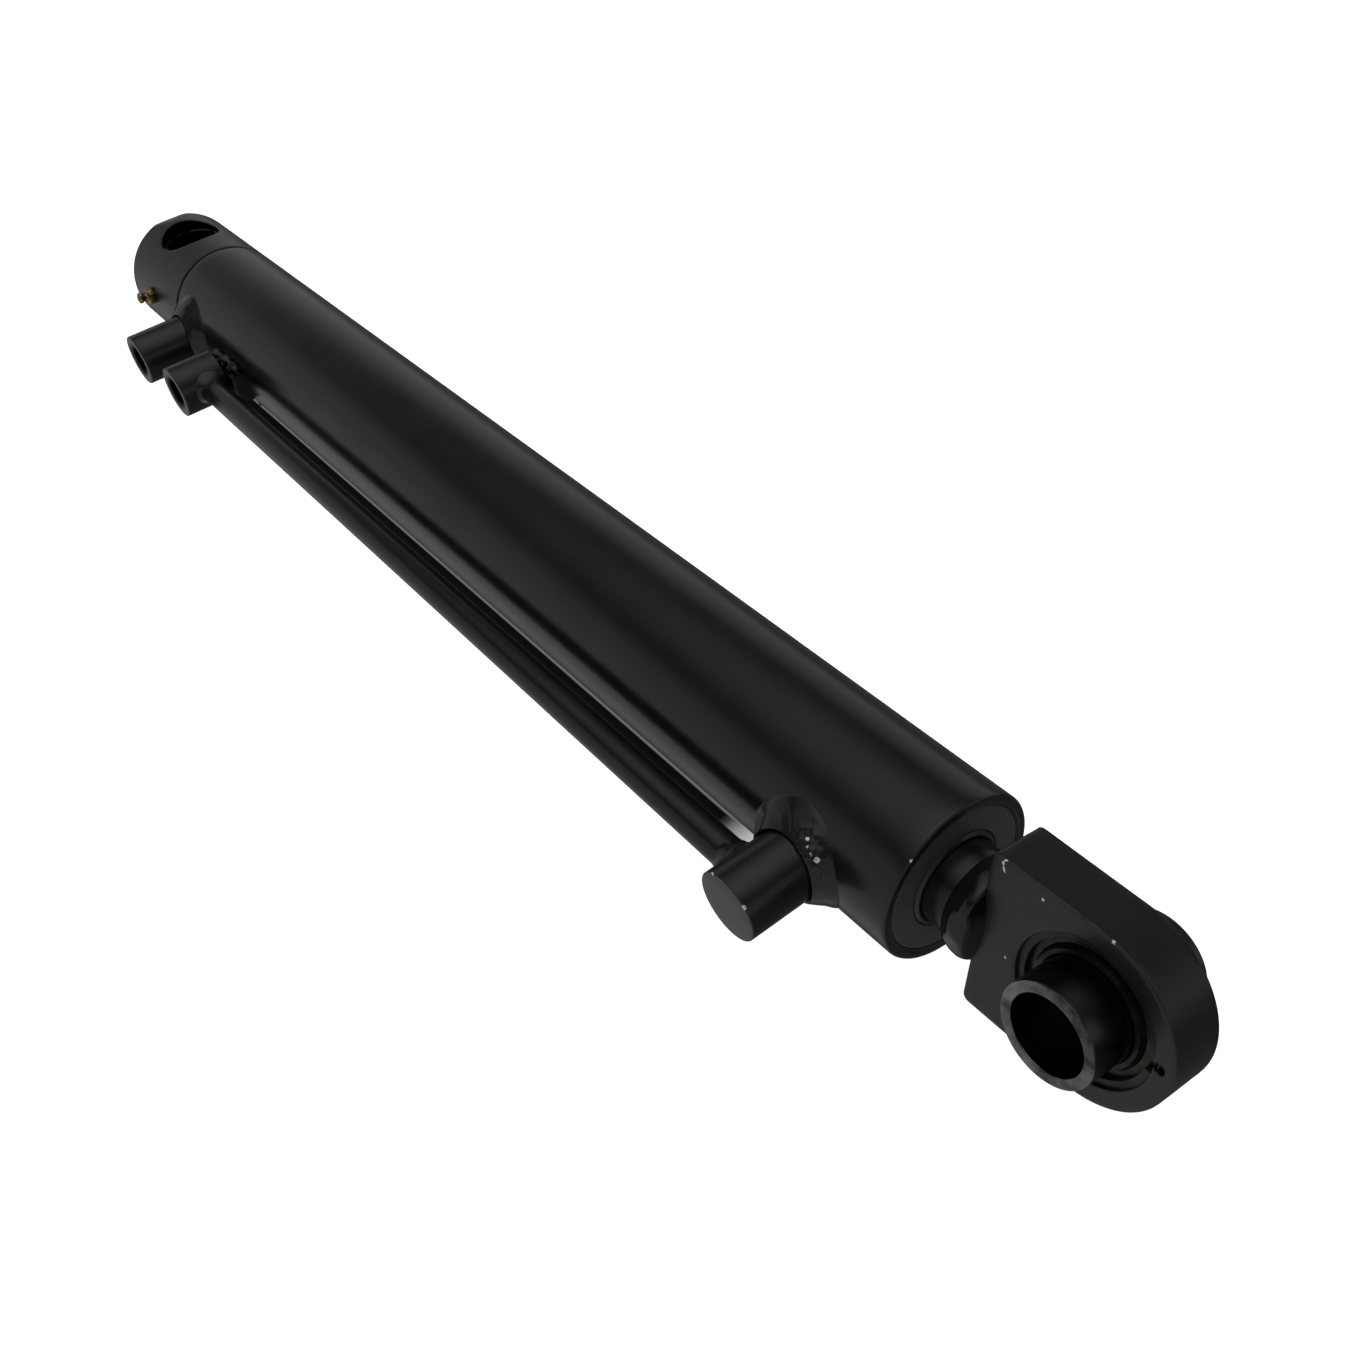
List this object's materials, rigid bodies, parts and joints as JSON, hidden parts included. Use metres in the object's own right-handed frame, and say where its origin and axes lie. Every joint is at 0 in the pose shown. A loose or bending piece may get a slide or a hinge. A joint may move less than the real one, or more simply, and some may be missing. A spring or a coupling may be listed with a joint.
{
  "type": "welded hydraulic cylinder",
  "caption": "Double-acting welded hydraulic cylinder, retracted, with a cross-bored base lug, side port bosses, an external transfer tube and a swivel-bearing rod eye.",
  "frame": {"origin": "middle of the base pin bore", "axes": "+X along the cylinder to the rod eye, +Z along the base pin bore, ports towards -Y"},
  "size_m": [0.8464, 0.1137, 0.0802],
  "materials": {
    "black_paint": "satin black paint",
    "rod_chrome": "ground hard chrome, painted over at the eye",
    "bare_steel": "turned steel with a film of grease",
    "dark_steel": "phosphated bearing steel",
    "cast_iron": "turned iron",
    "nylon": "filled nylon",
    "polyurethane": "polyurethane",
    "nitrile": "nitrile rubber",
    "zinc_yellow": "yellow zinc plating"
  },
  "bodies": {
    "barrel": {"barrel_tube": "black_paint", "base_lug": "black_paint", "base_pin_bush": "bare_steel", "base_seam_weld": "black_paint", "grease_nipple": "zinc_yellow", "base_port_boss": "black_paint", "base_port_weld": "black_paint", "rod_port_boss": "black_paint", "rod_port_bracket": "black_paint", "rod_port_bracket_weld": "black_paint", "transfer_tube": "black_paint", "tube_weld_base_end": "black_paint", "tube_weld_rod_end": "black_paint", "rod_end_boss": "black_paint", "rod_end_boss_weld": "black_paint", "gland": "cast_iron", "gland_lock_ring": "dark_steel", "gland_o_ring": "nitrile", "gland_backup_ring": "nylon", "rod_guide_ring": "nylon", "rod_seal": "polyurethane", "rod_wiper": "polyurethane"},
    "piston_rings": {"piston_seal": "polyurethane", "piston_wear_ring_base_end": "nylon", "piston_wear_ring_rod_end": "nylon"},
    "rod": {"piston_rod": "rod_chrome", "piston": "cast_iron", "piston_nut": "dark_steel", "piston_spindle_o_ring": "nitrile", "rod_eye_plate": "black_paint", "rod_eye_weld": "black_paint", "bearing_outer_race": "dark_steel", "bearing_snap_ring_near": "dark_steel", "bearing_snap_ring_far": "dark_steel"},
    "ball": {"bearing_ball": "dark_steel"},
    "sleeve": {"bearing_sleeve": "bare_steel"}
  },
  "joints": [
    {"name": "rod_slide", "type": "slide", "parent": "barrel", "child": "piston_rings", "axis": [1, 0, 0], "range_m": [0, 0.508]},
    {"name": "rod_turn", "type": "hinge", "parent": "piston_rings", "child": "rod", "pos_m": [0.1, 0, 0], "axis": [1, 0, 0], "continuous": true},
    {"name": "ball_tilt", "type": "hinge", "parent": "rod", "child": "ball", "pos_m": [0.775, 0, 0], "axis": [0, 0.1805, 0.9836], "range_deg": [-15, 15]},
    {"name": "sleeve_spin", "type": "hinge", "parent": "ball", "child": "sleeve", "pos_m": [0.775, 0, 0], "axis": [0, -0.9836, 0.1805], "continuous": true}
  ]
}
